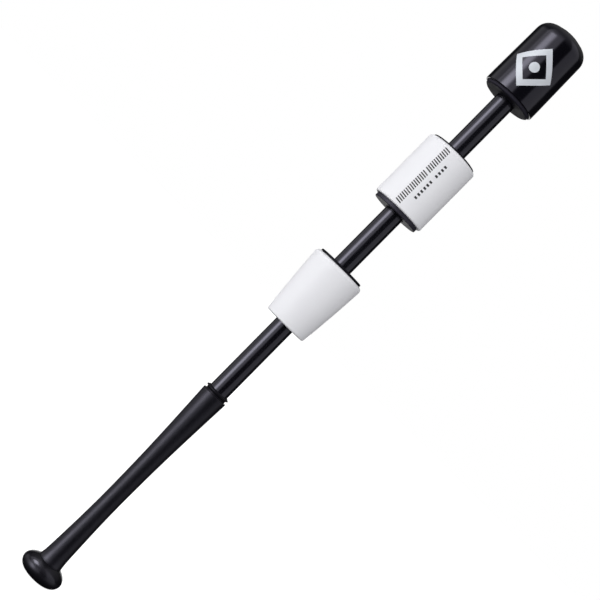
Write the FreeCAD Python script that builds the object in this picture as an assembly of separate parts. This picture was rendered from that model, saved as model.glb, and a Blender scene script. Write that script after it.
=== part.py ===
import FreeCAD, Part

import math
import os

# Weighted swing trainer: a bat-shaped stick with a knob, a moulded grip and a fixed head, and two
# hollow weights that slide and turn on the bare shaft between the stop ring and the head.
# Units are millimetres. The origin is the centre of the knob's flat base, and +Z runs along the
# stick to the head. Every piece is round about the Z axis, so an outline point is (radius, height).

# ---- driving dimensions: the stick -----------------------------------------------------------
LENGTH = 780.0
SHAFT_R = 11.3
SHAFT_WALL = 2.0
HANDLE_TUBE_R = 8.0
TAPER_START_Z = 120.0
TAPER_END_Z = 240.0

# ---- driving dimensions: knob and grip -------------------------------------------------------
KNOB_BASE_R = 13.8
KNOB_R = 25.0
KNOB_WIDEST_Z = 9.9
KNOB_UPPER_RISE = 13.6
KNOB_TOP_Z = 21.1
KNOB_MOUTH_R = 14.1
GRIP_SEAT_Z = 17.5
TUBE_SEAT_Z = 9.0
CAP_R = 8.0
CAP_THICKNESS = 2.0
CAP_EDGE = 0.3
CAP_GAP = 0.5
KNOB_SCREW_R = 2.5
KNOB_SCREW_LENGTH = 20.0
SCREW_HEAD_R = 4.6
SCREW_HEAD_HEIGHT = 3.5
SCREW_POCKET_R = 5.2
SCREW_HEX = 4.0
SCREW_HEX_DEPTH = 2.0
SCREW_TIP_GAP = 2.0
PLUG_END_LENGTH = 8.0
GRIP_TOP_Z = 261.5
GRIP_EDGE_ROUND = 0.6
GRIP_FOOT_R = 13.8
GRIP_FOOT_TOP_Z = 22.4
GRIP_OUTLINE = [
    (GRIP_FOOT_R, GRIP_FOOT_TOP_Z),
    (13.3, 25.0),
    (12.9, 28.5),
    (12.4, 36.0),
    (11.6, 56.0),
    (10.75, 82.0),
    (10.35, 108.0),
    (10.5, 136.0),
    (11.0, 166.0),
    (12.1, 200.0),
    (13.4, 230.0),
    (14.9, GRIP_TOP_Z),
]
COLLAR_R = 12.4
COLLAR_TOP_Z = 263.0
RING_TOP_Z = 267.2
RING_TOP_R = 12.5
RING_SHOULDER_R = 12.9
RING_LIP_R = 14.4
RING_LIP_LOW_Z = 265.0
RING_LIP_HIGH_Z = 266.0
RING_LIP_FLARE = 0.6
RING_LIP_ROUND = 0.25

# ---- driving dimensions: what both sliding weights share --------------------------------------
BUSH_CLEARANCE = 0.07
BUSH_R = 13.85
CORE_BORE_R = 13.9
CORE_R = 17.0
BUSH_END_GAP = 0.3
BUMPER_BORE_R = 11.8
BUMPER_SEAT_DEPTH = 2.5
BUMPER_EDGE_ROUND = 0.8
BUMPER_BORE_CHAMFER = 0.6

# ---- driving dimensions: tapered weight (the one nearer the grip) ------------------------------
TAPER_LOW_Z = 363.4
TAPER_HIGH_Z = 444.0
TAPER_LOW_R = 24.9
TAPER_MIDDLE_R = 28.85
TAPER_HIGH_R = 31.7
TAPER_LOW_ROUND = 2.0
TAPER_HIGH_ROUND = 4.0
TAPER_LOW_BUMPER_R = 21.5
TAPER_HIGH_BUMPER_R = 27.3
TAPER_LOW_BUMPER_FACE_Z = 363.7
TAPER_LOW_BUMPER_THICKNESS = 7.8
TAPER_HIGH_BUMPER_FACE_Z = 446.7
TAPER_HIGH_BUMPER_THICKNESS = 8.2
TAPER_CAVITY_LOW_Z = 372.0
TAPER_CAVITY_HIGH_Z = 437.0

# ---- driving dimensions: cylindrical weight (the one nearer the head) --------------------------
BARREL_LOW_Z = 528.0
BARREL_HIGH_Z = 609.0
BARREL_R = 31.0
BARREL_BUMPER_R = 27.7
BARREL_LOW_ROUND = 2.0
BARREL_HIGH_ROUND = 3.2
BARREL_LOW_BUMPER_FACE_Z = 523.6
BARREL_LOW_BUMPER_THICKNESS = 10.0
BARREL_HIGH_BUMPER_FACE_Z = 610.7
BARREL_HIGH_BUMPER_THICKNESS = 8.4

# ---- driving dimensions: head ------------------------------------------------------------------
HEAD_FACE_Z = 686.1
HEAD_RIM_Z = 689.6
HEAD_R = 31.3
HEAD_STRAIGHT_TOP_Z = 700.0
HEAD_TOP_R = 30.3
HEAD_SHOULDER_ROUND = 14.4
HEAD_DOME_R = 53.7
HEAD_DOME_WALL = 2.4
HEAD_CAVITY_R = 27.8
HEAD_RIM_ROUND = 0.9
HEAD_GROOVE_R = 29.6
HEAD_GROOVE_TOP_Z = 691.5
HEAD_BUMPER_R = 28.4
HEAD_BUMPER_FACE_R = 26.9
HEAD_BUMPER_BEVEL = 1.1
HEAD_BUMPER_BACK_Z = 695.0
HUB_FOOT_THICKNESS = 6.0
HUB_BARREL_R = 15.0
HUB_PLATE_Z = 749.0
HUB_TOP_Z = 760.0
SHAFT_TOP_Z = 752.0
INSERT_LENGTH = 30.0
HEAD_BOLT_R = 4.0
HEAD_BOLT_LENGTH = 30.0
BOLT_TIP_GAP = 3.0
BOLT_HEAD_R = 6.5
BOLT_HEAD_HEIGHT = 8.0
BOLT_HEX = 6.0
BOLT_HEX_DEPTH = 4.0
WASHER_BORE_R = 4.2
WASHER_R = 9.0
WASHER_THICKNESS = 1.6

# ---- worked out from the driving dimensions ----------------------------------------------------
SHAFT_BORE_R = SHAFT_R - SHAFT_WALL
HANDLE_BORE_R = HANDLE_TUBE_R - SHAFT_WALL
POCKET_TOP_Z = CAP_THICKNESS + CAP_GAP + SCREW_HEAD_HEIGHT
SCREW_TIP_Z = POCKET_TOP_Z + KNOB_SCREW_LENGTH
PLUG_HOLE_TOP_Z = SCREW_TIP_Z + SCREW_TIP_GAP
PLUG_TOP_Z = SCREW_TIP_Z + PLUG_END_LENGTH
BOLT_SEAT_Z = HUB_TOP_Z + WASHER_THICKNESS
BOLT_TIP_Z = BOLT_SEAT_Z - HEAD_BOLT_LENGTH
HEAD_DOME_CENTRE_Z = LENGTH - HEAD_DOME_R
HEAD_SHOULDER_CENTRE_R = HEAD_TOP_R - HEAD_SHOULDER_ROUND
HEAD_SHOULDER_RISE = math.sqrt((HEAD_DOME_R - HEAD_SHOULDER_ROUND) ** 2 - HEAD_SHOULDER_CENTRE_R**2)
HEAD_SHOULDER_Z = HEAD_DOME_CENTRE_Z + HEAD_SHOULDER_RISE
TAPER_CORE_LOW_Z = TAPER_LOW_BUMPER_FACE_Z + TAPER_LOW_BUMPER_THICKNESS - BUMPER_SEAT_DEPTH
TAPER_CORE_HIGH_Z = TAPER_HIGH_BUMPER_FACE_Z - TAPER_HIGH_BUMPER_THICKNESS + BUMPER_SEAT_DEPTH
BARREL_CORE_LOW_Z = BARREL_LOW_BUMPER_FACE_Z + BARREL_LOW_BUMPER_THICKNESS - BUMPER_SEAT_DEPTH
BARREL_CORE_HIGH_Z = BARREL_HIGH_BUMPER_FACE_Z - BARREL_HIGH_BUMPER_THICKNESS + BUMPER_SEAT_DEPTH

ORIGIN = FreeCAD.Vector(0, 0, 0)
UP = FreeCAD.Vector(0, 0, 1)
EDGE_TOLERANCE = 1e-4
HEX_SIDES = 6


def point(place):
    """An outline point (radius, height) as a vector in the half-plane that gets turned."""
    radius, height = place
    return FreeCAD.Vector(radius, 0, height)


def path(*places):
    """Straight outline edges through the given points."""
    return [Part.makeLine(point(a), point(b)) for a, b in zip(places, places[1:])]


def bend(start, middle, end):
    """One circular outline edge through three points."""
    return [Part.Arc(point(start), point(middle), point(end)).toShape()]


def curve(places):
    """One smooth outline edge through the given points."""
    spline = Part.BSplineCurve()
    spline.interpolate([point(place) for place in places])
    return [spline.toShape()]


def ellipse_arc(centre, half_width, half_height, start, end):
    """Outline edge on an ellipse, between two angles in radians, 0 at its outermost point."""
    radius, height = centre
    side = point((radius + half_width, height))
    top = point((radius, height + half_height))
    ellipse = Part.Ellipse(side, top, point(centre))
    return [Part.ArcOfEllipse(ellipse, start, end).toShape()]


def turned(edges):
    """The solid made by turning a closed outline a full circle about the stick's axis."""
    wire = Part.Wire(Part.__sortEdges__(edges))
    solid = Part.Face(wire).revolve(ORIGIN, UP, 360)
    if solid.Volume < 0:
        solid.reverse()
    return solid


def turned_polygon(*places):
    """A turned solid with a straight-sided outline, given as its corners in order."""
    return turned(path(*places, places[0]))


def corner_edges(solid, corner):
    """The circular edges that a turned outline corner left on a solid."""
    radius, height = corner
    found = []
    for edge in solid.Edges:
        if edge.Degenerated or not isinstance(edge.Curve, Part.Circle):
            continue
        off_height = abs(edge.Curve.Center.z - height)
        off_radius = abs(edge.Curve.Radius - radius)
        if off_height < EDGE_TOLERANCE and off_radius < EDGE_TOLERANCE:
            found.append(edge)
    return found


def rounded(solid, size, corner):
    """The solid with the edge at an outline corner rounded."""
    return solid.makeFillet(size, corner_edges(solid, corner))


def bevelled(solid, size, corner):
    """The solid with the edge at an outline corner bevelled."""
    return solid.makeChamfer(size, corner_edges(solid, corner))


def hex_pocket(across_flats, floor_z, depth):
    """Six-sided cutter for a hex-key socket, standing on its floor."""
    reach = across_flats / math.sqrt(3)
    angles = [math.tau * step / HEX_SIDES for step in range(HEX_SIDES + 1)]
    ring = [FreeCAD.Vector(reach * math.cos(a), reach * math.sin(a), floor_z) for a in angles]
    return Part.Face(Part.makePolygon(ring)).extrude(FreeCAD.Vector(0, 0, depth))


# ---- the stick -----------------------------------------------------------------------------------
def shaft_tube():
    """One tube: straight where the weights slide, drawn in to a thinner handle below."""
    return turned_polygon(
        (HANDLE_BORE_R, TUBE_SEAT_Z),
        (HANDLE_TUBE_R, TUBE_SEAT_Z),
        (HANDLE_TUBE_R, TAPER_START_Z),
        (SHAFT_R, TAPER_END_Z),
        (SHAFT_R, SHAFT_TOP_Z),
        (SHAFT_BORE_R, SHAFT_TOP_Z),
        (SHAFT_BORE_R, TAPER_END_Z),
        (HANDLE_BORE_R, TAPER_START_Z),
    )


def grip_sleeve():
    """Moulded grip: waisted outside, fitted to the tube and the collar inside."""
    top_r = GRIP_OUTLINE[-1][0]
    outside = path((HANDLE_TUBE_R, GRIP_SEAT_Z), (GRIP_FOOT_R, GRIP_SEAT_Z), GRIP_OUTLINE[0])
    outside += curve(GRIP_OUTLINE)
    inside = path(
        (top_r, GRIP_TOP_Z),
        (COLLAR_R, GRIP_TOP_Z),
        (COLLAR_R, TAPER_END_Z),
        (SHAFT_R, TAPER_END_Z),
        (HANDLE_TUBE_R, TAPER_START_Z),
        (HANDLE_TUBE_R, GRIP_SEAT_Z),
    )
    return rounded(turned(outside + inside), GRIP_EDGE_ROUND, (top_r, GRIP_TOP_Z))


def knob():
    """Round knob with a flat base, a socket for the tube and a mouth that holds the grip's foot."""
    top_angle = math.asin((KNOB_TOP_Z - KNOB_WIDEST_Z) / KNOB_UPPER_RISE)
    rim_r = KNOB_R * math.cos(top_angle)
    lower = ellipse_arc(
        (KNOB_BASE_R, KNOB_WIDEST_Z), KNOB_R - KNOB_BASE_R, KNOB_WIDEST_Z, -math.pi / 2, 0
    )
    upper = ellipse_arc((0, KNOB_WIDEST_Z), KNOB_R, KNOB_UPPER_RISE, 0, top_angle)
    hollow = path(
        (rim_r, KNOB_TOP_Z),
        (KNOB_MOUTH_R, KNOB_TOP_Z),
        (KNOB_MOUTH_R, GRIP_SEAT_Z),
        (HANDLE_TUBE_R, GRIP_SEAT_Z),
        (HANDLE_TUBE_R, TUBE_SEAT_Z),
        (KNOB_SCREW_R, TUBE_SEAT_Z),
        (KNOB_SCREW_R, POCKET_TOP_Z),
        (SCREW_POCKET_R, POCKET_TOP_Z),
        (SCREW_POCKET_R, CAP_THICKNESS),
        (CAP_R, CAP_THICKNESS),
        (CAP_R, 0),
        (KNOB_BASE_R, 0),
    )
    return turned(lower + upper + hollow)


def knob_cap():
    """Press-in disc that closes the screw's pocket flush with the base."""
    disc = Part.makeCylinder(CAP_R, CAP_THICKNESS)
    return bevelled(disc, CAP_EDGE, (CAP_R, 0))


def knob_screw():
    """Socket screw that pulls the knob on to the tube's end plug."""
    head_low_z = POCKET_TOP_Z - SCREW_HEAD_HEIGHT
    screw = turned_polygon(
        (0, head_low_z),
        (SCREW_HEAD_R, head_low_z),
        (SCREW_HEAD_R, POCKET_TOP_Z),
        (KNOB_SCREW_R, POCKET_TOP_Z),
        (KNOB_SCREW_R, SCREW_TIP_Z),
        (0, SCREW_TIP_Z),
    )
    return screw.cut(hex_pocket(SCREW_HEX, head_low_z, SCREW_HEX_DEPTH))


def handle_plug():
    """Plug bonded in the handle end of the tube, tapped for the knob screw."""
    return turned_polygon(
        (KNOB_SCREW_R, TUBE_SEAT_Z),
        (HANDLE_BORE_R, TUBE_SEAT_Z),
        (HANDLE_BORE_R, PLUG_TOP_Z),
        (0, PLUG_TOP_Z),
        (0, PLUG_HOLE_TOP_Z),
        (KNOB_SCREW_R, PLUG_HOLE_TOP_Z),
    )


def stop_collar():
    """Sleeve bonded to the tube under the grip's mouth, the firm seat of the stop ring."""
    return turned_polygon(
        (SHAFT_R, TAPER_END_Z),
        (COLLAR_R, TAPER_END_Z),
        (COLLAR_R, COLLAR_TOP_Z),
        (SHAFT_R, COLLAR_TOP_Z),
    )


def stop_ring():
    """Soft ring with a thin lip, where the lower weight comes to rest."""
    ring = turned_polygon(
        (SHAFT_R, COLLAR_TOP_Z),
        (COLLAR_R, COLLAR_TOP_Z),
        (RING_SHOULDER_R, RING_LIP_LOW_Z - RING_LIP_FLARE),
        (RING_LIP_R, RING_LIP_LOW_Z),
        (RING_LIP_R, RING_LIP_HIGH_Z),
        (RING_SHOULDER_R, RING_LIP_HIGH_Z + RING_LIP_FLARE),
        (RING_TOP_R, RING_TOP_Z),
        (SHAFT_R, RING_TOP_Z),
    )
    ring = rounded(ring, RING_LIP_ROUND, (RING_LIP_R, RING_LIP_LOW_Z))
    return rounded(ring, RING_LIP_ROUND, (RING_LIP_R, RING_LIP_HIGH_Z))


# ---- the head ------------------------------------------------------------------------------------
def dome_outline(side_r, offset):
    """Shoulder and dome edges of the head, moved inward by offset, and the dome's highest point.

    The shoulder arc is tangent to the dome, whose centre lies on the axis.
    """
    shoulder_r = HEAD_SHOULDER_ROUND - offset
    dome_r = HEAD_DOME_R - offset
    meet = math.atan2(HEAD_SHOULDER_RISE, HEAD_SHOULDER_CENTRE_R)

    def on_shoulder(angle):
        across = HEAD_SHOULDER_CENTRE_R + shoulder_r * math.cos(angle)
        return across, HEAD_SHOULDER_Z + shoulder_r * math.sin(angle)

    def on_dome(angle):
        return dome_r * math.cos(angle), HEAD_DOME_CENTRE_Z + dome_r * math.sin(angle)

    top = (0, HEAD_DOME_CENTRE_Z + dome_r)
    edges = bend((side_r, HEAD_SHOULDER_Z), on_shoulder(meet / 2), on_shoulder(meet))
    edges += bend(on_shoulder(meet), on_dome((meet + math.pi / 2) / 2), top)
    return edges, top


def head_shell():
    """Gloss shell of the head: slightly drafted side, round shoulder, shallow dome."""
    outer, outer_top = dome_outline(HEAD_TOP_R, 0)
    inner, inner_top = dome_outline(HEAD_CAVITY_R, HEAD_DOME_WALL)
    side = path(
        (HEAD_GROOVE_R, HEAD_RIM_Z),
        (HEAD_R, HEAD_RIM_Z),
        (HEAD_R, HEAD_STRAIGHT_TOP_Z),
        (HEAD_TOP_R, HEAD_SHOULDER_Z),
    )
    seat = path(
        (HEAD_CAVITY_R, HEAD_SHOULDER_Z),
        (HEAD_CAVITY_R, HEAD_BUMPER_BACK_Z),
        (HEAD_BUMPER_R, HEAD_BUMPER_BACK_Z),
        (HEAD_BUMPER_R, HEAD_GROOVE_TOP_Z),
        (HEAD_GROOVE_R, HEAD_GROOVE_TOP_Z),
        (HEAD_GROOVE_R, HEAD_RIM_Z),
    )
    shell = turned(side + outer + path(outer_top, inner_top) + inner + seat)
    return rounded(shell, HEAD_RIM_ROUND, (HEAD_R, HEAD_RIM_Z))


def head_bumper():
    """Soft disc that closes the head and takes the cylindrical weight's knock."""
    return turned_polygon(
        (SHAFT_R, HEAD_FACE_Z),
        (HEAD_BUMPER_FACE_R, HEAD_FACE_Z),
        (HEAD_BUMPER_R, HEAD_FACE_Z + HEAD_BUMPER_BEVEL),
        (HEAD_BUMPER_R, HEAD_BUMPER_BACK_Z),
        (SHAFT_R, HEAD_BUMPER_BACK_Z),
    )


def head_hub():
    """Spool that carries the shell: a foot flange, a socket for the shaft and a bolt plate."""
    foot_top_z = HEAD_BUMPER_BACK_Z + HUB_FOOT_THICKNESS
    return turned_polygon(
        (SHAFT_R, HEAD_BUMPER_BACK_Z),
        (HEAD_CAVITY_R, HEAD_BUMPER_BACK_Z),
        (HEAD_CAVITY_R, foot_top_z),
        (HUB_BARREL_R, foot_top_z),
        (HUB_BARREL_R, HUB_PLATE_Z),
        (HEAD_CAVITY_R, HUB_PLATE_Z),
        (HEAD_CAVITY_R, HUB_TOP_Z),
        (HEAD_BOLT_R, HUB_TOP_Z),
        (HEAD_BOLT_R, SHAFT_TOP_Z),
        (SHAFT_R, SHAFT_TOP_Z),
    )


def shaft_insert():
    """Insert bonded in the head end of the tube, tapped for the head bolt."""
    low_z = SHAFT_TOP_Z - INSERT_LENGTH
    hole_z = BOLT_TIP_Z - BOLT_TIP_GAP
    return turned_polygon(
        (0, low_z),
        (SHAFT_BORE_R, low_z),
        (SHAFT_BORE_R, SHAFT_TOP_Z),
        (HEAD_BOLT_R, SHAFT_TOP_Z),
        (HEAD_BOLT_R, hole_z),
        (0, hole_z),
    )


def head_washer():
    """Flat washer under the head bolt."""
    washer = Part.makeCylinder(WASHER_R, WASHER_THICKNESS, point((0, HUB_TOP_Z)))
    return washer.cut(Part.makeCylinder(WASHER_BORE_R, WASHER_THICKNESS, point((0, HUB_TOP_Z))))


def head_bolt():
    """Socket-head bolt that clamps the hub to the shaft's end."""
    head_top_z = BOLT_SEAT_Z + BOLT_HEAD_HEIGHT
    bolt = turned_polygon(
        (0, BOLT_TIP_Z),
        (HEAD_BOLT_R, BOLT_TIP_Z),
        (HEAD_BOLT_R, BOLT_SEAT_Z),
        (BOLT_HEAD_R, BOLT_SEAT_Z),
        (BOLT_HEAD_R, head_top_z),
        (0, head_top_z),
    )
    return bolt.cut(hex_pocket(BOLT_HEX, head_top_z - BOLT_HEX_DEPTH, BOLT_HEX_DEPTH))


# ---- the sliding weights -------------------------------------------------------------------------
def end_bumper(radius, face_z, thickness, facing):
    """Soft end disc of a weight, with a seat in its back for the core.

    facing is +1 when the face looks up to the head and -1 when it looks down to the grip.
    """
    back_z = face_z - facing * thickness
    seat_z = back_z + facing * BUMPER_SEAT_DEPTH
    disc = turned_polygon(
        (BUMPER_BORE_R, face_z),
        (radius, face_z),
        (radius, back_z),
        (CORE_R, back_z),
        (CORE_R, seat_z),
        (BUMPER_BORE_R, seat_z),
    )
    disc = rounded(disc, BUMPER_EDGE_ROUND, (radius, face_z))
    return bevelled(disc, BUMPER_BORE_CHAMFER, (BUMPER_BORE_R, face_z))


def sleeve(inner_r, outer_r, low_z, high_z):
    """Plain round sleeve."""
    return turned_polygon((inner_r, low_z), (outer_r, low_z), (outer_r, high_z), (inner_r, high_z))


def weight_core(low_z, high_z):
    """Thick steel tube that gives a weight its mass."""
    return sleeve(CORE_BORE_R, CORE_R, low_z, high_z)


def weight_bush(low_z, high_z):
    """Slippery liner: it slides on the shaft, turns in the core and is kept in by the bumpers."""
    inner_r = SHAFT_R + BUSH_CLEARANCE
    return sleeve(inner_r, BUSH_R, low_z + BUSH_END_GAP, high_z - BUSH_END_GAP)


def taper_shell():
    """White shell of the tapered weight, wider towards the head, its side very slightly bulged."""
    middle_z = (TAPER_LOW_Z + TAPER_HIGH_Z) / 2
    outside = bend(
        (TAPER_LOW_R, TAPER_LOW_Z), (TAPER_MIDDLE_R, middle_z), (TAPER_HIGH_R, TAPER_HIGH_Z)
    )
    inside = path(
        (TAPER_HIGH_R, TAPER_HIGH_Z),
        (TAPER_HIGH_BUMPER_R, TAPER_HIGH_Z),
        (TAPER_HIGH_BUMPER_R, TAPER_CAVITY_HIGH_Z),
        (TAPER_LOW_BUMPER_R, TAPER_CAVITY_LOW_Z),
        (TAPER_LOW_BUMPER_R, TAPER_LOW_Z),
        (TAPER_LOW_R, TAPER_LOW_Z),
    )
    shell = turned(outside + inside)
    shell = rounded(shell, TAPER_LOW_ROUND, (TAPER_LOW_R, TAPER_LOW_Z))
    return rounded(shell, TAPER_HIGH_ROUND, (TAPER_HIGH_R, TAPER_HIGH_Z))


def barrel_shell():
    """White shell of the cylindrical weight."""
    shell = sleeve(BARREL_BUMPER_R, BARREL_R, BARREL_LOW_Z, BARREL_HIGH_Z)
    shell = rounded(shell, BARREL_LOW_ROUND, (BARREL_R, BARREL_LOW_Z))
    return rounded(shell, BARREL_HIGH_ROUND, (BARREL_R, BARREL_HIGH_Z))


PARTS = {
    "shaft_tube": shaft_tube(),
    "grip_sleeve": grip_sleeve(),
    "knob": knob(),
    "knob_cap": knob_cap(),
    "knob_screw": knob_screw(),
    "handle_plug": handle_plug(),
    "stop_collar": stop_collar(),
    "stop_ring": stop_ring(),
    "head_shell": head_shell(),
    "head_bumper": head_bumper(),
    "head_hub": head_hub(),
    "shaft_insert": shaft_insert(),
    "head_washer": head_washer(),
    "head_bolt": head_bolt(),
    "taper_shell": taper_shell(),
    "taper_core": weight_core(TAPER_CORE_LOW_Z, TAPER_CORE_HIGH_Z),
    "taper_bush": weight_bush(TAPER_CORE_LOW_Z, TAPER_CORE_HIGH_Z),
    "taper_lower_bumper": end_bumper(
        TAPER_LOW_BUMPER_R, TAPER_LOW_BUMPER_FACE_Z, TAPER_LOW_BUMPER_THICKNESS, -1
    ),
    "taper_upper_bumper": end_bumper(
        TAPER_HIGH_BUMPER_R, TAPER_HIGH_BUMPER_FACE_Z, TAPER_HIGH_BUMPER_THICKNESS, 1
    ),
    "barrel_shell": barrel_shell(),
    "barrel_core": weight_core(BARREL_CORE_LOW_Z, BARREL_CORE_HIGH_Z),
    "barrel_bush": weight_bush(BARREL_CORE_LOW_Z, BARREL_CORE_HIGH_Z),
    "barrel_lower_bumper": end_bumper(
        BARREL_BUMPER_R, BARREL_LOW_BUMPER_FACE_Z, BARREL_LOW_BUMPER_THICKNESS, -1
    ),
    "barrel_upper_bumper": end_bumper(
        BARREL_BUMPER_R, BARREL_HIGH_BUMPER_FACE_Z, BARREL_HIGH_BUMPER_THICKNESS, 1
    ),
}

os.makedirs("parts", exist_ok=True)
for name, shape in PARTS.items():
    shape.exportStep(f"parts/{name}.step")
    box = shape.BoundBox
    print(
        f"{name}: valid {shape.isValid()}, solids {len(shape.Solids)}, volume {shape.Volume:.0f}, "
        f"z {box.ZMin:.2f} to {box.ZMax:.2f}, radius {box.XMax:.2f}"
    )
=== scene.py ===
import math

import bmesh
import bpy
from mathutils import Matrix, Vector


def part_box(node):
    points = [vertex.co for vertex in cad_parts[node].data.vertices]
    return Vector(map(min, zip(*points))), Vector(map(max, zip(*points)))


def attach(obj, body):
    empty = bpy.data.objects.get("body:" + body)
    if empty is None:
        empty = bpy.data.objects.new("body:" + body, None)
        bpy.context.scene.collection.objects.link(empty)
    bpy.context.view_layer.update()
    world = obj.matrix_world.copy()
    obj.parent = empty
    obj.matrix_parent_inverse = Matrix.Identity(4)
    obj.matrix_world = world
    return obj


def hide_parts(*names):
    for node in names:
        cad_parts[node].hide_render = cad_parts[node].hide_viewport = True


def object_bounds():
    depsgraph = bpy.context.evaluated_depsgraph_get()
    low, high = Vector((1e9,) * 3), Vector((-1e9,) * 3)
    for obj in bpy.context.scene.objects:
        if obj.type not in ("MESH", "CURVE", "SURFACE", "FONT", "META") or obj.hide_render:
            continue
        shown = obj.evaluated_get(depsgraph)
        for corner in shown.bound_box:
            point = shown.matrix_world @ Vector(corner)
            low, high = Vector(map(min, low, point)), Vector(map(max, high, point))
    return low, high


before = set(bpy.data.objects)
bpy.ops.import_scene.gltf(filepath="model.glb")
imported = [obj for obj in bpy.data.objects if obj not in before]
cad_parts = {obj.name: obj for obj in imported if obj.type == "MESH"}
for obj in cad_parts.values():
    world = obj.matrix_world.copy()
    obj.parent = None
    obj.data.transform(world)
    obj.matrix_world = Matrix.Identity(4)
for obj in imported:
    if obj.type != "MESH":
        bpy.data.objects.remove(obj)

# Looks for a bat-shaped swing trainer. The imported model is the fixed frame: metres, +Z along the
# stick from the knob's base. Every visible piece except the printed marks is a turned mesh, built here
# from its CAD node's box and a few sizes of its own. The pieces inside keep their CAD meshes and get
# materials. An outline point is (radius, height).

MM = 0.001
SEGMENTS = 192
SHARP_TURN = math.radians(28)
ARC_STEP = math.radians(9)
AXIS_TOLERANCE = 1e-7

cad_low, cad_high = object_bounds()


# ---- outlines ------------------------------------------------------------------------------------
class Extent:
    """Radius and height range of a CAD node at rest, in metres."""

    def __init__(self, node):
        low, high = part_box(node)
        self.low = low.z
        self.high = high.z
        self.radius = (high.x - low.x) / 2


def between(a, b, share):
    """Point that lies a share of the way from a to b."""
    return tuple(p + (q - p) * share for p, q in zip(a, b))


def arc(centre, radius, start, end):
    """Points on a circle in the outline plane, between two angles in degrees, 0 pointing outwards."""
    first = math.radians(start)
    sweep = math.radians(end) - first
    steps = max(3, math.ceil(abs(sweep) / ARC_STEP))
    points = []
    for step in range(steps + 1):
        angle = first + sweep * step / steps
        points.append((centre[0] + radius * math.cos(angle), centre[1] + radius * math.sin(angle)))
    return points


def ellipse(centre, half_width, half_height, start, end):
    """Points on an ellipse in the outline plane, between two angles in degrees."""
    unit = arc((0, 0), 1, start, end)
    return [(centre[0] + half_width * x, centre[1] + half_height * z) for x, z in unit]


def smooth_through(points, steps):
    """Catmull-Rom curve through outline points, with the given steps between neighbours."""
    padded = [points[0], *points, points[-1]]
    result = []
    for i in range(len(points) - 1):
        a, b, c, d = (Vector(p) for p in padded[i : i + 4])
        for step in range(steps):
            t = step / steps
            place = 2 * b + (c - a) * t + (2 * a - 5 * b + 4 * c - d) * t**2
            place += (3 * b - a - 3 * c + d) * t**3
            result.append(tuple(place / 2))
    result.append(points[-1])
    return result


def round_corner(before, corner, after, radius):
    """Points of an arc that replaces an outline corner."""
    to_before = (Vector(before) - Vector(corner)).normalized()
    to_after = (Vector(after) - Vector(corner)).normalized()
    half = to_before.angle(to_after) / 2
    reach = radius / math.tan(half)
    middle = (to_before + to_after).normalized()
    centre = Vector(corner) + middle * (radius / math.sin(half))
    start = Vector(corner) + to_before * reach - centre
    end = Vector(corner) + to_after * reach - centre
    sweep = start.angle_signed(end)
    steps = max(2, math.ceil(abs(sweep) / ARC_STEP))
    points = []
    for step in range(steps + 1):
        turn = Matrix.Rotation(-sweep * step / steps, 2)
        points.append(tuple(centre + turn @ start))
    return points


def rounded(corners):
    """Closed outline from (radius, height, rounding) corners."""
    points = []
    count = len(corners)
    for i, corner in enumerate(corners):
        rounding = corner[2] if len(corner) > 2 else 0
        if rounding:
            before = corners[i - 1][:2]
            after = corners[(i + 1) % count][:2]
            points += round_corner(before, corner[:2], after, rounding)
        else:
            points.append(corner[:2])
    return points


# ---- meshes --------------------------------------------------------------------------------------
def add_piece(name, mesh, body, slot, material, *nodes):
    """Puts a finished mesh in the scene as a piece that rides on a body and stands for CAD nodes."""
    piece = bpy.data.objects.new(name, mesh)
    bpy.context.scene.collection.objects.link(piece)
    mesh.materials.append(material)
    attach(piece, body)
    if nodes:
        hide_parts(*nodes)
    return piece


def add_turned(name, outline, body, slot, material, *nodes):
    """Adds a turned piece. Large faces decide how the corners between faces are shaded."""
    piece = add_piece(name, turned_mesh(name, outline), body, slot, material, *nodes)
    shading = piece.modifiers.new("shading", "WEIGHTED_NORMAL")
    shading.keep_sharp = True
    return piece


def turned_mesh(name, outline):
    """Closed mesh made by turning an outline about Z. Rings on the axis become one point."""
    mesh = bmesh.new()
    rings = []
    for radius, height in outline:
        if radius < AXIS_TOLERANCE:
            rings.append([mesh.verts.new((0, 0, height))])
            continue
        ring = []
        for step in range(SEGMENTS):
            angle = 2 * math.pi * step / SEGMENTS
            ring.append(mesh.verts.new((radius * math.cos(angle), radius * math.sin(angle), height)))
        rings.append(ring)
    for a, b in zip(rings, rings[1:] + rings[:1]):
        join_rings(mesh, a, b)
    bmesh.ops.recalc_face_normals(mesh, faces=mesh.faces)
    return finish_mesh(mesh, name)


def join_rings(mesh, a, b):
    """Faces between two neighbouring rings of a turned mesh."""
    if len(a) == 1 and len(b) == 1:
        return
    for step in range(SEGMENTS):
        after = (step + 1) % SEGMENTS
        if len(a) == 1:
            mesh.faces.new((a[0], b[after], b[step]))
        elif len(b) == 1:
            mesh.faces.new((a[step], a[after], b[0]))
        else:
            mesh.faces.new((a[step], a[after], b[after], b[step]))


def finish_mesh(mesh, name):
    """Smooth shading that keeps real corners crisp, as a Blender mesh."""
    for face in mesh.faces:
        face.smooth = True
    for edge in mesh.edges:
        edge.smooth = len(edge.link_faces) == 2 and edge.calc_face_angle() < SHARP_TURN
    data = bpy.data.meshes.new(name)
    mesh.to_mesh(data)
    mesh.free()
    return data


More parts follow.
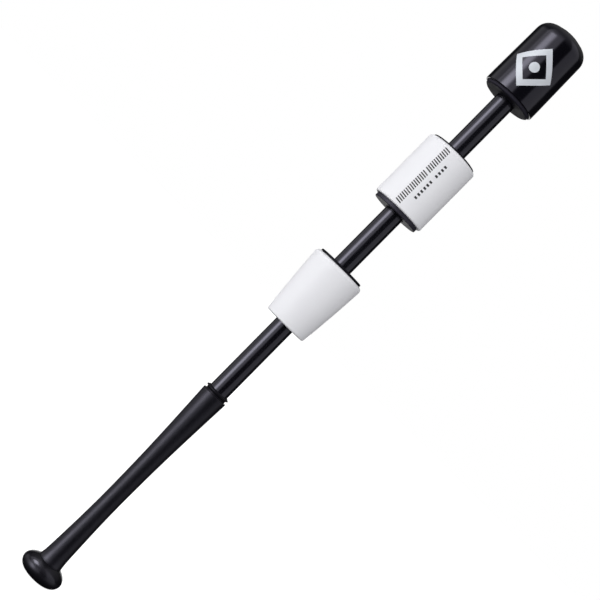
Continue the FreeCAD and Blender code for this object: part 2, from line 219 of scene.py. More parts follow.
# ---- node trees ----------------------------------------------------------------------------------
class Nodes:
    """Short ways to add nodes to a node tree and join them."""

    def __init__(self, tree):
        self.nodes = tree.nodes
        self.links = tree.links

    def add(self, kind, **settings):
        """A new node with some of its settings."""
        node = self.nodes.new(kind)
        for key, value in settings.items():
            setattr(node, key, value)
        return node

    def feed(self, socket, value):
        """Gives an input either a link or a plain value."""
        if isinstance(value, bpy.types.NodeSocket):
            self.links.new(value, socket)
        else:
            socket.default_value = value

    def math(self, operation, *values):
        """A math node's result."""
        node = self.add("ShaderNodeMath", operation=operation)
        for socket, value in zip(node.inputs, values):
            self.feed(socket, value)
        return node.outputs[0]

    def split(self, vector):
        """A vector's three parts."""
        node = self.add("ShaderNodeSeparateXYZ")
        self.feed(node.inputs[0], vector)
        return node.outputs

    def spread(self, value, low, high, out_low, out_high, shape="LINEAR"):
        """The value remapped from one range to another, and kept inside it."""
        node = self.add("ShaderNodeMapRange", interpolation_type=shape)
        for socket, given in zip(node.inputs, (value, low, high, out_low, out_high)):
            self.feed(socket, given)
        return node.outputs[0]


class Shader(Nodes):
    """One surface material, built up from procedural textures in the piece's own coordinates."""

    def __init__(self, name):
        self.material = bpy.data.materials.new(name)
        self.material.use_nodes = True
        super().__init__(self.material.node_tree)
        self.surface = self.nodes["Principled BSDF"]
        self.place = self.add("ShaderNodeTexCoord").outputs["Object"]

    def stretched(self, factors):
        """The piece's coordinates, scaled along each axis."""
        node = self.add("ShaderNodeVectorMath", operation="MULTIPLY")
        self.feed(node.inputs[0], self.place)
        node.inputs[1].default_value = factors
        return node.outputs[0]

    def around(self):
        """Angle round the stick in turns from -0.5 to 0.5, and height along it in metres."""
        x, y, z = self.split(self.place)
        return self.math("DIVIDE", self.math("ARCTAN2", y, x), 2 * math.pi), z

    def noise(self, scale, detail=3.0, roughness=0.5, where=None):
        """Noise from 0 to 1."""
        node = self.add("ShaderNodeTexNoise")
        self.feed(node.inputs["Vector"], where or self.place)
        node.inputs["Scale"].default_value = scale
        node.inputs["Detail"].default_value = detail
        node.inputs["Roughness"].default_value = roughness
        return node.outputs["Fac"]

    def cells(self, scale):
        """Distance to the nearest of many scattered points."""
        node = self.add("ShaderNodeTexVoronoi")
        self.feed(node.inputs["Vector"], self.place)
        node.inputs["Scale"].default_value = scale
        return node.outputs["Distance"]

    def tint(self, share, first, second):
        """A colour between two others."""
        node = self.add("ShaderNodeMix", data_type="RGBA")
        self.feed(node.inputs[0], share)
        node.inputs[6].default_value = (*first, 1)
        node.inputs[7].default_value = (*second, 1)
        return node.outputs[2]

    def bump(self, height, depth, under=None):
        """Surface relief. The depth is in metres, for a height of 1."""
        node = self.add("ShaderNodeBump")
        node.inputs["Distance"].default_value = depth
        self.feed(node.inputs["Height"], height)
        if under is not None:
            self.feed(node.inputs["Normal"], under)
        return node.outputs[0]

    def finish(self, **inputs):
        """Sets the surface's inputs by name, with underscores for spaces, and gives the material."""
        for key, value in inputs.items():
            self.feed(self.surface.inputs[key.replace("_", " ")], value)
        return self.material


# ---- materials -----------------------------------------------------------------------------------
# Darkest and lightest colour of each surface, and the bluish tint of the black surfaces' shine.
BLUISH = (0.84, 0.82, 1.0, 1.0)
SHAFT_BLACK = ((0.0026, 0.0025, 0.0038), (0.0055, 0.0053, 0.0078))
GRIP_BLACK = ((0.0025, 0.0024, 0.0038), (0.005, 0.0048, 0.007))
KNOB_BLACK = ((0.003, 0.0029, 0.0042), (0.0055, 0.0053, 0.0075))
HEAD_BLACK = ((0.0022, 0.0021, 0.0034), (0.0042, 0.004, 0.0062))
RING_BLACK = ((0.0025, 0.0024, 0.0036), (0.0065, 0.0063, 0.0085))
DISC_GREY = ((0.015, 0.0138, 0.021), (0.024, 0.0225, 0.032))
# The end discs' grey rubber, painted darker as shade on the discs that face the head.
DISC_GREY_IN_PAINTED_SHADE = ((0.003, 0.003, 0.0042), (0.007, 0.007, 0.009))
SHELL_WHITE = ((0.78, 0.782, 0.82), (0.82, 0.822, 0.855))
INK_SILVER = ((0.56, 0.59, 0.64), (0.64, 0.67, 0.72))
INK_BLACK = ((0.008, 0.008, 0.01), (0.03, 0.03, 0.034))
CORE_GREY = ((0.42, 0.42, 0.43), (0.5, 0.5, 0.5))
SCREW_GREY = ((0.5, 0.5, 0.52), (0.6, 0.6, 0.62))
INSERT_GREY = ((0.68, 0.69, 0.7), (0.78, 0.79, 0.8))
LINER_CREAM = ((0.72, 0.7, 0.62), (0.8, 0.78, 0.71))
HUB_GREY = ((0.1, 0.1, 0.11), (0.14, 0.14, 0.15))


def shaft_material():
    """Gloss black fibre tube: faint rings left by the wrapping tape, and fine fibres under lacquer."""
    s = Shader("shaft_black_lacquered_fibre")
    turns, height = s.around()
    tape_pitch = 2.6 * MM
    fibre_scales = (900, 900, 45)
    winding = s.math("ADD", s.math("DIVIDE", height, tape_pitch), turns)
    ridges = s.math("SINE", s.math("MULTIPLY", winding, 2 * math.pi))
    fibres = s.noise(1.0, 4.0, 0.6, s.stretched(fibre_scales))
    patches = s.noise(38.0, 3.0, 0.55)
    uneven = s.math("MULTIPLY", s.math("ADD", fibres, patches), 0.5)
    return s.finish(
        Base_Color=s.tint(fibres, *SHAFT_BLACK),
        Roughness=s.spread(uneven, 0.35, 0.65, 0.15, 0.24),
        Specular_IOR_Level=0.6,
        Specular_Tint=BLUISH,
        Normal=s.bump(s.noise(150.0, 2.0), 0.03 * MM, s.bump(ridges, 0.003 * MM)),
    )


def grip_material():
    """Satin black moulded rubber with a fine pebbled skin and slightly uneven shine."""
    s = Shader("grip_black_moulded_rubber")
    pebbles = s.cells(1500.0)
    drift = s.noise(26.0, 4.0, 0.6)
    return s.finish(
        Base_Color=s.tint(drift, *GRIP_BLACK),
        Roughness=s.spread(drift, 0.3, 0.7, 0.36, 0.44),
        Specular_IOR_Level=0.56,
        Specular_Tint=BLUISH,
        Normal=s.bump(pebbles, 0.03 * MM, s.bump(s.noise(240.0, 3.0), 0.04 * MM)),
    )


def knob_material():
    """Smooth black plastic knob with faint handling haze, duller low down where it is stood and rubbed."""
    s = Shader("knob_black_smooth_plastic")
    worn_below = 9 * MM
    clean_above = 15 * MM
    waver = 2 * MM
    worn_roughness = 0.28
    haze = s.noise(70.0, 5.0, 0.65)
    height = s.around()[1]
    wavering_height = s.math("ADD", height, s.math("MULTIPLY", haze, waver))
    worn = s.spread(wavering_height, worn_below, clean_above, 1, 0)
    smooth = s.spread(haze, 0.35, 0.7, 0.18, 0.25)
    return s.finish(
        Base_Color=s.tint(haze, *KNOB_BLACK),
        Roughness=s.math("ADD", smooth, s.math("MULTIPLY", worn, worn_roughness)),
        Specular_IOR_Level=s.spread(worn, 0, 1, 0.5, 0.3),
        Specular_Tint=BLUISH,
        Normal=s.bump(s.noise(220.0, 3.0), 0.02 * MM),
    )


def head_material():
    """Gloss black moulded shell with the slight waviness of a thick lacquer."""
    s = Shader("head_black_gloss_shell")
    flow = s.noise(24.0, 4.0, 0.6)
    return s.finish(
        Base_Color=s.tint(flow, *HEAD_BLACK),
        Roughness=s.spread(flow, 0.35, 0.7, 0.12, 0.2),
        Specular_IOR_Level=0.5,
        Specular_Tint=BLUISH,
        Normal=s.bump(s.noise(60.0, 2.0), 0.05 * MM),
    )


def white_material():
    """Satin white moulded shell: a fine spark-eroded skin and very faint cloudiness."""
    s = Shader("shell_white_satin_plastic")
    clouds = s.noise(30.0, 4.0, 0.55)
    skin = s.noise(1600.0, 2.0, 0.6)
    return s.finish(
        Base_Color=s.tint(clouds, *SHELL_WHITE),
        Roughness=s.spread(clouds, 0.3, 0.7, 0.44, 0.54),
        Specular_IOR_Level=0.4,
        Normal=s.bump(skin, 0.012 * MM, s.bump(s.noise(120.0, 2.0), 0.03 * MM)),
    )


def bumper_material(name, dark, light, roughness, specular):
    """Matt rubber with a grainy skin and a little dust."""
    s = Shader(name)
    uneven = 0.06
    grain = s.noise(900.0, 4.0, 0.7)
    dust = s.noise(80.0, 4.0, 0.6)
    return s.finish(
        Base_Color=s.tint(dust, dark, light),
        Roughness=s.spread(dust, 0.3, 0.7, roughness - uneven, roughness + uneven),
        Specular_IOR_Level=specular,
        Specular_Tint=BLUISH,
        Normal=s.bump(grain, 0.05 * MM),
    )


def ring_material():
    """Black rubber of the stop ring, lightly scuffed all over. On the aluminium collar it is painted shade
    for the dark groove.
    """
    s = Shader("ring_black_soft_rubber_and_collar_painted_shade")
    scuffs = s.noise(320.0, 5.0, 0.7)
    return s.finish(
        Base_Color=s.tint(scuffs, *RING_BLACK),
        Roughness=s.spread(scuffs, 0.35, 0.7, 0.34, 0.55),
        Specular_IOR_Level=0.25,
        Specular_Tint=BLUISH,
        Normal=s.bump(scuffs, 0.03 * MM),
    )


def metal_material(name, dark, light, roughness):
    """Turned metal: fine rings from the lathe tool, with uneven shine."""
    s = Shader(name)
    height = s.around()[1]
    tool_pitch = 0.4 * MM
    uneven = 0.12
    tool_marks = s.math("SINE", s.math("MULTIPLY", height, 2 * math.pi / tool_pitch))
    stain = s.noise(110.0, 4.0, 0.6)
    return s.finish(
        Base_Color=s.tint(stain, dark, light),
        Metallic=1.0,
        Roughness=s.spread(stain, 0.3, 0.7, roughness, roughness + uneven),
        Normal=s.bump(tool_marks, 0.004 * MM, s.bump(stain, 0.01 * MM)),
    )


def plastic_material(name, dark, light, roughness, grain):
    """Plain moulded plastic for the pieces inside."""
    s = Shader(name)
    uneven = 0.1
    cloud = s.noise(60.0, 4.0, 0.6)
    return s.finish(
        Base_Color=s.tint(cloud, dark, light),
        Roughness=s.spread(cloud, 0.3, 0.7, roughness, roughness + uneven),
        Normal=s.bump(s.noise(grain, 3.0), 0.02 * MM),
    )


def silver_ink():
    """Light silver-grey screen print with fine flakes."""
    s = Shader("print_silver_ink")
    flakes = s.cells(2600.0)
    cover = s.noise(140.0, 4.0, 0.6)
    return s.finish(
        Base_Color=s.tint(cover, *INK_SILVER),
        Metallic=0.15,
        Roughness=s.spread(flakes, 0.0, 0.6, 0.42, 0.56),
        Normal=s.bump(flakes, 0.006 * MM),
    )


def black_ink():
    """Black screen print, slightly uneven where it is thin."""
    s = Shader("print_black_ink")
    cover = s.noise(700.0, 4.0, 0.7)
    return s.finish(
        Base_Color=s.tint(cover, *INK_BLACK),
        Roughness=s.spread(cover, 0.3, 0.7, 0.4, 0.55),
        Normal=s.bump(cover, 0.004 * MM),
    )


SHAFT = shaft_material()
GRIP = grip_material()
KNOB = knob_material()
HEAD = head_material()
WHITE = white_material()
LOWER_BUMPER = bumper_material("bumper_dark_grey_rubber", *DISC_GREY, 0.54, 0.4)
# The discs that face the head get the same grey rubber painted darker: painted shade on their sides.
UPPER_BUMPER_PAINTED_SHADE = bumper_material("bumper_grey_rubber_painted_shade", *DISC_GREY_IN_PAINTED_SHADE, 0.62, 0.15)
HEAD_BUMPER = bumper_material("head_bumper_dark_grey_rubber", *DISC_GREY, 0.68, 0.2)
RING_RUBBER_AND_COLLAR_SHADE = ring_material()
STEEL = metal_material("core_turned_steel", *CORE_GREY, 0.3)
SCREW = metal_material("screw_bright_steel", *SCREW_GREY, 0.18)
ALUMINIUM = metal_material("insert_aluminium", *INSERT_GREY, 0.26)
LINER = plastic_material("liner_natural_plastic", *LINER_CREAM, 0.35, 500.0)
HUB = plastic_material("hub_grey_plastic", *HUB_GREY, 0.5, 700.0)
SILVER_INK = silver_ink()
BLACK_INK = black_ink()


# ---- handle and shaft ----------------------------------------------------------------------------
TUBE = Extent("shaft_tube")
COLLAR = Extent("stop_collar")
PLUG = Extent("handle_plug")
INSERT = Extent("shaft_insert")
RING_BOX = Extent("stop_ring")
TUBE_WALL = TUBE.radius - INSERT.radius
HANDLE_TUBE_R = PLUG.radius + TUBE_WALL
TAPER_START_Z = 120 * MM


def build_shaft():
    """Bare tube, straight where the weights run and drawn in inside the grip."""
    outline = [
        (PLUG.radius, TUBE.low),
        (HANDLE_TUBE_R, TUBE.low),
        (HANDLE_TUBE_R, TAPER_START_Z),
        (TUBE.radius, COLLAR.low),
        (TUBE.radius, TUBE.high),
        (INSERT.radius, TUBE.high),
        (INSERT.radius, COLLAR.low),
        (PLUG.radius, TAPER_START_Z),
    ]
    add_turned("shaft", outline, "stick", "shaft_black", SHAFT, "shaft_tube")


def build_grip():
    """Moulded grip: a straight foot in the knob, a waist, and a flared mouth round the collar."""
    grip = Extent("grip_sleeve")
    foot_r = 13.8 * MM
    edge_round = 0.6 * MM
    curve_steps = 6
    foot = [(13.8, 22.4), (13.3, 25), (12.9, 28.5)]
    waist = [(12.4, 36), (11.6, 56), (10.75, 82), (10.35, 108), (10.5, 136)]
    flare = [(11, 166), (12.1, 200), (13.4, 230)]
    side = [(radius * MM, height * MM) for radius, height in foot + waist + flare]
    side.append((grip.radius, grip.high))
    side = smooth_through(side, curve_steps)
    mouth = round_corner(side[-2], side[-1], (COLLAR.radius, grip.high), edge_round)
    outline = [(HANDLE_TUBE_R, grip.low), (foot_r, grip.low)]
    outline += side[:-1] + mouth
    outline += [
        (COLLAR.radius, grip.high),
        (COLLAR.radius, COLLAR.low),
        (TUBE.radius, COLLAR.low),
        (HANDLE_TUBE_R, TAPER_START_Z),
    ]
    add_turned("grip", outline, "stick", "grip_black", GRIP, "grip_sleeve")


def build_knob():
    """Round knob: elliptical below and above its widest height, with a mouth round the grip's foot."""
    knob = Extent("knob")
    cap = Extent("knob_cap")
    grip = Extent("grip_sleeve")
    base_r = 13.8 * MM
    widest_z = 9.9 * MM
    upper_rise = 13.6 * MM
    mouth_r = 14.1 * MM
    pocket_r = 5.2 * MM
    pocket_top_z = 6 * MM
    screw_r = 2.5 * MM
    top_angle = math.degrees(math.asin((knob.high - widest_z) / upper_rise))
    outline = ellipse((base_r, widest_z), knob.radius - base_r, widest_z, -90, 0)
    outline += ellipse((0, widest_z), knob.radius, upper_rise, 0, top_angle)[1:]
    outline += [
        (mouth_r, knob.high),
        (mouth_r, grip.low),
        (HANDLE_TUBE_R, grip.low),
        (HANDLE_TUBE_R, TUBE.low),
        (screw_r, TUBE.low),
        (screw_r, pocket_top_z),
        (pocket_r, pocket_top_z),
        (pocket_r, cap.high),
        (cap.radius, cap.high),
        (cap.radius, 0),
    ]
    add_turned("knob_body", outline, "stick", "knob_black", KNOB, "knob")
    edge = 0.3 * MM
    disc = [(0, 0), (cap.radius - edge, 0), (cap.radius, edge), (cap.radius, cap.high), (0, cap.high)]
    add_turned("knob_cap_disc", disc, "stick", "knob_black", KNOB, "knob_cap")


def build_stop():
    """Collar in the grip's mouth, and the soft ring with a thin lip that stops the lower weight."""
    collar = [
        (TUBE.radius, COLLAR.low),
        (COLLAR.radius, COLLAR.low),
        (COLLAR.radius, COLLAR.high),
        (TUBE.radius, COLLAR.high),
    ]
    # The aluminium collar in the groove gets the ring's black rubber: painted shade for the dark groove.
    add_turned("collar", collar, "stick", "insert_aluminium", RING_RUBBER_AND_COLLAR_SHADE, "stop_collar")
    shoulder_r = 12.9 * MM
    top_r = 12.5 * MM
    lip_low_z = 265.0 * MM
    lip_high_z = 266.0 * MM
    flare = 0.6 * MM
    lip_round = 0.25 * MM
    ring = [
        (TUBE.radius, RING_BOX.low),
        (COLLAR.radius, RING_BOX.low),
        (shoulder_r, lip_low_z - flare),
        (RING_BOX.radius, lip_low_z, lip_round),
        (RING_BOX.radius, lip_high_z, lip_round),
        (shoulder_r, lip_high_z + flare),
        (top_r, RING_BOX.high),
        (TUBE.radius, RING_BOX.high),
    ]
    add_turned("stop_ring_rubber", rounded(ring), "stick", "ring_black", RING_RUBBER_AND_COLLAR_SHADE, "stop_ring")


# ---- head ----------------------------------------------------------------------------------------
HEAD_BOX = Extent("head_shell")
HEAD_BUMPER_BOX = Extent("head_bumper")
HEAD_HUB_BOX = Extent("head_hub")
HEAD_STRAIGHT_TOP_Z = 700 * MM
HEAD_TOP_R = 30.3 * MM
HEAD_SHOULDER_ROUND = 14.4 * MM
HEAD_DOME_R = 53.7 * MM
HEAD_DOME_CENTRE_Z = HEAD_BOX.high - HEAD_DOME_R
HEAD_SHOULDER_R = HEAD_TOP_R - HEAD_SHOULDER_ROUND
HEAD_SHOULDER_RISE = math.sqrt((HEAD_DOME_R - HEAD_SHOULDER_ROUND) ** 2 - HEAD_SHOULDER_R**2)
HEAD_SHOULDER_Z = HEAD_DOME_CENTRE_Z + HEAD_SHOULDER_RISE


def head_side_r(height):
    """Outer radius of the head's side, which narrows slightly above its straight part."""
    share = (height - HEAD_STRAIGHT_TOP_Z) / (HEAD_SHOULDER_Z - HEAD_STRAIGHT_TOP_Z)
    return HEAD_BOX.radius + (HEAD_TOP_R - HEAD_BOX.radius) * max(0, share)


def dome(offset):
    """Shoulder and dome, moved inward by an offset, from the side to the axis."""
    meet = math.degrees(math.atan2(HEAD_SHOULDER_RISE, HEAD_SHOULDER_R))
    points = arc((HEAD_SHOULDER_R, HEAD_SHOULDER_Z), HEAD_SHOULDER_ROUND - offset, 0, meet)
    points += arc((0, HEAD_DOME_CENTRE_Z), HEAD_DOME_R - offset, meet, 90)[1:]
    points[-1] = (0, points[-1][1])
    return points


def build_head():
    """Gloss shell with a shallow dome, and the soft disc that closes it, behind a narrow groove."""
    wall = 2.4 * MM
    groove_r = 29.6 * MM
    groove_top_z = 691.5 * MM
    rim_round = 0.9 * MM
    outline = rounded(
        [
            (groove_r, groove_top_z),
            (groove_r, HEAD_BOX.low),
            (HEAD_BOX.radius, HEAD_BOX.low, rim_round),
            (HEAD_BOX.radius, HEAD_STRAIGHT_TOP_Z),
        ]
    )
    outline += dome(0)
    outline += reversed(dome(wall))
    outline += [
        (HEAD_HUB_BOX.radius, HEAD_BUMPER_BOX.high),
        (HEAD_BUMPER_BOX.radius, HEAD_BUMPER_BOX.high),
        (HEAD_BUMPER_BOX.radius, groove_top_z),
    ]
    add_turned("head_body", outline, "stick", "head_black", HEAD, "head_shell")
    bevel = 1.1 * MM
    face_r = 26.9 * MM
    face = [
        (TUBE.radius, HEAD_BUMPER_BOX.low),
        (face_r, HEAD_BUMPER_BOX.low),
        (HEAD_BUMPER_BOX.radius, HEAD_BUMPER_BOX.low + bevel),
        (HEAD_BUMPER_BOX.radius, HEAD_BUMPER_BOX.high),
        (TUBE.radius, HEAD_BUMPER_BOX.high),
    ]
    add_turned("head_face_bumper", face, "stick", "bumper_grey", HEAD_BUMPER, "head_bumper")


# ---- sliding weights -----------------------------------------------------------------------------
def build_bumper(name, body, facing):
    """Soft end disc of a weight. Facing is 1 when its face looks to the head and -1 to the grip."""
    disc = Extent(name)
    core = Extent(name.split("_")[0] + "_core")
    face_z = disc.high if facing > 0 else disc.low
    back_z = disc.low if facing > 0 else disc.high
    seat_z = core.high if facing > 0 else core.low
    bore_r = 11.8 * MM
    chamfer = 0.6 * MM
    edge_round = 0.8 * MM
    outline = [
        (bore_r, face_z - facing * chamfer),
        (bore_r + chamfer, face_z),
        (disc.radius, face_z, edge_round),
        (disc.radius, back_z),
        (core.radius, back_z),
        (core.radius, seat_z),
        (bore_r, seat_z),
    ]
    # Discs facing the head get the darker colour, which is painted shade, not a different rubber.
    rubber = UPPER_BUMPER_PAINTED_SHADE if facing > 0 else LOWER_BUMPER
    add_turned(name + "_rubber", rounded(outline), body, "bumper_grey", rubber, name)


def build_taper():
    """White shell of the weight nearer the grip, wider towards the head and very slightly bulged."""
    shell = Extent("taper_shell")
    low_bumper = Extent("taper_lower_bumper")
    high_bumper = Extent("taper_upper_bumper")
    low_r = 24.9 * MM
    high_r = 31.7 * MM
    bulge = 0.55 * MM
    low_round = 2.0 * MM
    high_round = 4.0 * MM
    cavity_low_z = 372 * MM
    cavity_high_z = 437 * MM
    steps = 12
    side = []
    for step in range(steps + 1):
        share = step / steps
        # The bulge follows a parabola, nothing at both ends and full in the middle.
        radius = low_r + (high_r - low_r) * share + bulge * 4 * share * (1 - share)
        side.append((radius, shell.low + (shell.high - shell.low) * share))
    low_edge = round_corner((low_bumper.radius, shell.low), side[0], side[1], low_round)
    high_edge = round_corner(side[-2], side[-1], (high_bumper.radius, shell.high), high_round)
    outline = [(low_bumper.radius, shell.low)]
    outline += low_edge + side[1:-1] + high_edge
    outline += [
        (high_bumper.radius, shell.high),
        (high_bumper.radius, cavity_high_z),
        (low_bumper.radius, cavity_low_z),
    ]
    add_turned("taper_casing", outline, "taper_weight", "shell_white", WHITE, "taper_shell")
    build_bumper("taper_lower_bumper", "taper_weight", -1)
    build_bumper("taper_upper_bumper", "taper_weight", 1)


def build_barrel():
    """White shell of the weight nearer the head: a plain cylinder with rounded ends."""
    shell = Extent("barrel_shell")
    bumper = Extent("barrel_lower_bumper")
    low_round = 2.0 * MM
    high_round = 3.2 * MM
    outline = [
        (bumper.radius, shell.low),
        (shell.radius, shell.low, low_round),
        (shell.radius, shell.high, high_round),
        (bumper.radius, shell.high),
    ]
    add_turned("barrel_casing", rounded(outline), "barrel_weight", "shell_white", WHITE, "barrel_shell")
    build_bumper("barrel_lower_bumper", "barrel_weight", -1)
    build_bumper("barrel_upper_bumper", "barrel_weight", 1)


# ---- printed marks -------------------------------------------------------------------------------
PRINT_RAISE = 0.08 * MM
PRINT_SINK = 0.15 * MM
PRINT_STEP = 1.0 * MM


class Print:
    """Thin raised marks that follow a round surface, drawn in (across, along) metres from a centre."""

    def __init__(self, surface_r, centre_angle, centre_z):
        self.surface_r = surface_r
        self.centre_angle = math.radians(centre_angle)
        self.centre_z = centre_z
        self.mesh = bmesh.new()

    def place(self, spot, lift):
        """A spot on the flat drawing, laid on the surface and lifted off it."""
        height = self.centre_z + spot[1]
        angle = self.centre_angle + spot[0] / self.surface_r(self.centre_z)
        radius = self.surface_r(height) + lift
        return radius * math.sin(angle), -radius * math.cos(angle), height

    def band(self, left, right, closed=False):
        """A raised band between two rows of spots. A closed one joins its end to its start."""
        widest = max((Vector(a) - Vector(b)).length for a, b in zip(left, right))
        lanes = max(1, math.ceil(widest / PRINT_STEP))
        shares = [lane / lanes for lane in range(lanes + 1)]
        rows = [self.row(left, right, share, PRINT_RAISE) for share in shares]
        rows += [self.row(left, right, share, -PRINT_SINK) for share in reversed(shares)]
        count = len(left)
        for a, b in zip(rows, rows[1:] + rows[:1]):
            for i in range(count if closed else count - 1):
                after = (i + 1) % count
                self.mesh.faces.new((a[i], a[after], b[after], b[i]))
        if not closed:
            self.close_end(rows, 0)
            self.close_end(rows, -1)

    def row(self, left, right, share, lift):
        """Corners of one lane line, a share of the way from the left row to the right one."""
        return [self.mesh.verts.new(self.place(between(a, b, share), lift)) for a, b in zip(left, right)]

    def close_end(self, rows, end):
        """Wall across the end of an open band."""
        for lane in range(len(rows) // 2 - 1):
            corners = (rows[lane], rows[lane + 1], rows[-lane - 2], rows[-lane - 1])
            self.mesh.faces.new([row[end] for row in corners])

    def block(self, along, width, length, slant):
        """A filled block of four sides, with one side further along than the other by the slant."""
        side = width / 2
        start = along - length / 2
        end = along + length / 2
        left = line((-side, start + slant / 2), (side, start - slant / 2))
        right = line((-side, end + slant / 2), (side, end - slant / 2))
        self.band(left, right)

    def dot(self, reach):
        """A filled round spot in the middle of the drawing."""
        steps = 20
        reach_angle = 84
        sweep = 2 * reach_angle
        angles = [math.radians(-reach_angle + sweep * step / steps) for step in range(steps + 1)]
        left = [(-reach * math.cos(a), reach * math.sin(a)) for a in angles]
        right = [(reach * math.cos(a), reach * math.sin(a)) for a in angles]
        self.band(left, right)

    def finish(self, name, body, slot, material):
        """Turns the drawn bands into one piece."""
        bmesh.ops.recalc_face_normals(self.mesh, faces=self.mesh.faces)
        add_piece(name, finish_mesh(self.mesh, name), body, slot, material)


def line(a, b):
    """Evenly spaced spots from a to b."""
    steps = max(1, math.ceil((Vector(b) - Vector(a)).length / PRINT_STEP))
    return [between(a, b, step / steps) for step in range(steps + 1)]


def square_loop(reach):
    """Spots round a square that stands on its corner, reach from its centre to each corner."""
    corners = [(reach, 0), (0, reach), (-reach, 0), (0, -reach)]
    steps = 32
    loop = []
    for a, b in zip(corners, corners[1:] + corners[:1]):
        loop += [between(a, b, step / steps) for step in range(steps)]
    return loop


def build_head_mark():
    """Plain silver infield sign on the head: a square on its corner with a dot in the middle."""
    azimuth = -6.5
    rise = 24.2 * MM
    outer_reach = 26 * MM
    inner_reach = 17 * MM
    dot_reach = 5.5 * MM
    mark = Print(head_side_r, azimuth, HEAD_STRAIGHT_TOP_Z + rise)
    mark.band(square_loop(outer_reach), square_loop(inner_reach), closed=True)
    mark.dot(dot_reach)
    mark.finish("head_mark", "stick", "head_black", SILVER_INK)


def add_hatching(name, azimuth, rows, pitch, block, slant):
    """Rows of equal blocks on the cylinder. A row is its first block's place along and its count.

    A block is its width round the cylinder and its length along it.
    """
    shell = Extent("barrel_shell")
    width, length = block
    marks = Print(lambda height: shell.radius, azimuth, (shell.low + shell.high) / 2)
    for first, count in rows:
        for i in range(count):
            marks.block(first + i * pitch, width, length, slant)
    marks.finish(name, "barrel_weight", "shell_white", BLACK_INK)


def build_barrel_marks():
    """Plain black hatching on the white cylinder: a tall row of bars and a low row of blocks."""
    add_hatching(
        "barrel_mark_bars",
        azimuth=-12.9,
        rows=[(-35.3 * MM, 15), (7.7 * MM, 11)],
        pitch=2.76 * MM,
        block=(7.2 * MM, 1.4 * MM),
        slant=1.0 * MM,
    )
    add_hatching(
        "barrel_mark_blocks",
        azimuth=6.9,
        rows=[(-21.2 * MM, 6), (8.4 * MM, 4)],
        pitch=4.3 * MM,
        block=(3.2 * MM, 2.2 * MM),
        slant=0,
    )


# ---- build everything ----------------------------------------------------------------------------
build_shaft()
build_grip()
build_knob()
build_stop()
build_head()
build_taper()
build_barrel()
build_head_mark()
build_barrel_marks()

INSIDE = {
    "knob_screw": SCREW,
    "handle_plug": ALUMINIUM,
    "head_hub": HUB,
    "shaft_insert": ALUMINIUM,
    "head_washer": SCREW,
    "head_bolt": SCREW,
    "taper_core": STEEL,
    "taper_bush": LINER,
    "barrel_core": STEEL,
    "barrel_bush": LINER,
}
for node, material in INSIDE.items():
    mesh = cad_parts[node].data
    mesh.materials.clear()
    mesh.materials.append(material)


# ---- studio --------------------------------------------------------------------------------------
# Light panels: azimuth of the centre, half width and its soft edge, lowest elevation and the soft
# edge under it, highest elevation and the soft edge over it, all in degrees, and brightness.
# Azimuth 0 is the camera's side and 90 is +X.
PANELS = [
    (-51, 5, 16, -6, 14, 9, 24, 5.5),
    (-45, 34, 8, -6, 14, 16, 50, 1.15),
    (-100, 14, 20, -6, 14, 10, 20, 0.65),
    (71, 25, 6, -6, 14, 60, 30, 0.6),
    (180, 12, 12, -22, 14, 6, 14, 1.1),
]
# Glow from overhead, rising between two elevations, and the faint light from everywhere else.
ZENITH_GLOW = 0.4
ZENITH_START = 20
ZENITH_FULL = 80
DARK = 0.01
# Name, azimuth and power of the level lights that add matt light and make no reflections.
WASH_LAMPS = [("wash_left", -105, 11), ("wash_middle", -30, 2), ("wash_right", 33, 15.1)]
WASH_DISTANCE = 1.6
WASH_SIZE = 1.4
# Name, azimuth, elevation, size in metres and power of the lights that shine in the knob alone.
KNOB_LAMPS = [
    ("knob_glint", -78, 56, 0.75, 14),
    ("knob_left", -84, 54, 1.8, 7),
]
KNOB_LAMP_DISTANCE = 2.0
FLOOR_REACH = 30
FLOOR_GREY = (0.6, 0.6, 0.6, 1)
FLOOR_GLOW = 0.92
CAMERA_PLACE = Vector((-6.6 * MM, -1420 * MM, 2.4 * MM))
CAMERA_ROLL = math.radians(44.67)
LENS = 82.99
SENSOR_WIDTH = 36


def build_world():
    """Soft light panels all round. The camera sees plain white where no piece is."""
    world = bpy.data.worlds.new("studio")
    world.use_nodes = True
    bpy.context.scene.world = world
    n = Nodes(world.node_tree)
    x, y, z = n.split(n.add("ShaderNodeTexCoord").outputs["Generated"])
    azimuth = n.math("DEGREES", n.math("ARCTAN2", x, n.math("MULTIPLY", y, -1)))
    elevation = n.math("DEGREES", n.math("ARCSINE", z))
    light = n.math("ADD", n.spread(elevation, ZENITH_START, ZENITH_FULL, 0, ZENITH_GLOW), DARK)
    for panel in PANELS:
        centre, half_width, side_edge, lowest, low_edge, highest, high_edge, brightness = panel
        turn = n.math("WRAP", n.math("SUBTRACT", azimuth, centre), 180, -180)
        away = n.math("ABSOLUTE", turn)
        across = n.spread(away, half_width, half_width + side_edge, 1, 0, "SMOOTHSTEP")
        above = n.spread(elevation, lowest - low_edge, lowest, 0, 1, "SMOOTHSTEP")
        below = n.spread(elevation, highest, highest + high_edge, 1, 0, "SMOOTHSTEP")
        upright = n.math("MULTIPLY", above, below)
        panel_light = n.math("MULTIPLY", n.math("MULTIPLY", across, upright), brightness)
        light = n.math("ADD", light, panel_light)
    seen = n.add("ShaderNodeLightPath").outputs["Is Camera Ray"]
    strength = n.math("ADD", n.math("MULTIPLY", n.math("SUBTRACT", 1, seen), light), seen)
    n.feed(n.nodes["Background"].inputs["Color"], (1, 1, 1, 1))
    n.feed(n.nodes["Background"].inputs["Strength"], strength)


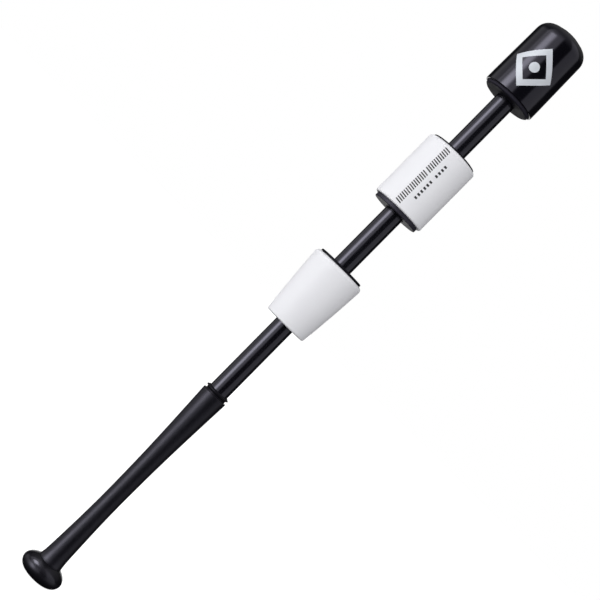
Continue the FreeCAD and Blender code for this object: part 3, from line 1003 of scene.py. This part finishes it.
def add_lamp(name, target, azimuth, elevation, distance, size, power):
    """Square light at a direction and distance from a target, and aimed at it."""
    light = bpy.data.lights.new(name, "AREA")
    light.size = size
    light.energy = power
    lamp = bpy.data.objects.new(name, light)
    bpy.context.scene.collection.objects.link(lamp)
    turn, rise = math.radians(azimuth), math.radians(elevation)
    away = Vector((math.sin(turn) * math.cos(rise), -math.cos(turn) * math.cos(rise), math.sin(rise)))
    lamp.location = target + away * distance
    lamp.rotation_euler = away.to_track_quat("Z", "Y").to_euler()
    lamp.visible_camera = False
    return lamp


def build_lamps():
    """Large lights for the matt tone of every piece, and two that only shine in the knob."""
    for name, azimuth, power in WASH_LAMPS:
        wash = add_lamp(name, MIDDLE, azimuth, 0, WASH_DISTANCE, WASH_SIZE, power)
        wash.visible_glossy = False
    knob_only = bpy.data.collections.new("knob_only")
    knob_only.objects.link(bpy.data.objects["knob_body"])
    for name, azimuth, elevation, size, power in KNOB_LAMPS:
        lamp = add_lamp(name, KNOB_BASE, azimuth, elevation, KNOB_LAMP_DISTANCE, size, power)
        lamp.visible_diffuse = False
        lamp.light_linking.receiver_collection = knob_only


def build_floor():
    """Pale floor under the knob, running into the white backdrop. It can't be seen from below."""
    mesh = bmesh.new()
    sides = [(-1, -1), (1, -1), (1, 1), (-1, 1)]
    mesh.faces.new([mesh.verts.new((x * FLOOR_REACH, y * FLOOR_REACH, 0)) for x, y in sides])
    floor = bpy.data.objects.new("floor", finish_mesh(mesh, "floor"))
    bpy.context.scene.collection.objects.link(floor)
    floor.visible_glossy = False
    floor.visible_diffuse = False
    material = bpy.data.materials.new("floor_pale")
    material.use_nodes = True
    n = Nodes(material.node_tree)
    surface = n.nodes["Principled BSDF"]
    surface.inputs["Base Color"].default_value = FLOOR_GREY
    surface.inputs["Roughness"].default_value = 1
    surface.inputs["Specular IOR Level"].default_value = 0
    surface.inputs["Emission Color"].default_value = (1, 1, 1, 1)
    surface.inputs["Emission Strength"].default_value = FLOOR_GLOW
    from_below = n.add("ShaderNodeNewGeometry").outputs["Backfacing"]
    clear = n.add("ShaderNodeBsdfTransparent")
    one_way = n.add("ShaderNodeMixShader")
    n.feed(one_way.inputs[0], from_below)
    n.feed(one_way.inputs[1], surface.outputs["BSDF"])
    n.feed(one_way.inputs[2], clear.outputs["BSDF"])
    n.feed(n.nodes["Material Output"].inputs["Surface"], one_way.outputs[0])
    floor.data.materials.append(material)


def build_camera():
    """Level camera in front of the stick, rolled so that the stick runs up to the right."""
    camera = bpy.data.objects.new("camera", bpy.data.cameras.new("camera"))
    bpy.context.scene.collection.objects.link(camera)
    camera.data.sensor_width = SENSOR_WIDTH
    camera.data.lens = LENS
    level = Matrix.Rotation(math.radians(90), 4, "X")
    roll = Matrix.Rotation(CAMERA_ROLL, 4, "Z")
    camera.matrix_world = Matrix.Translation(MIDDLE + CAMERA_PLACE) @ level @ roll
    bpy.context.scene.camera = camera


KNOB_BASE = Vector((0, 0, 0))
MIDDLE = Vector((0, 0, (cad_low.z + cad_high.z) / 2))
build_world()
build_lamps()
build_floor()
build_camera()
bpy.context.scene.view_settings.view_transform = "Standard"
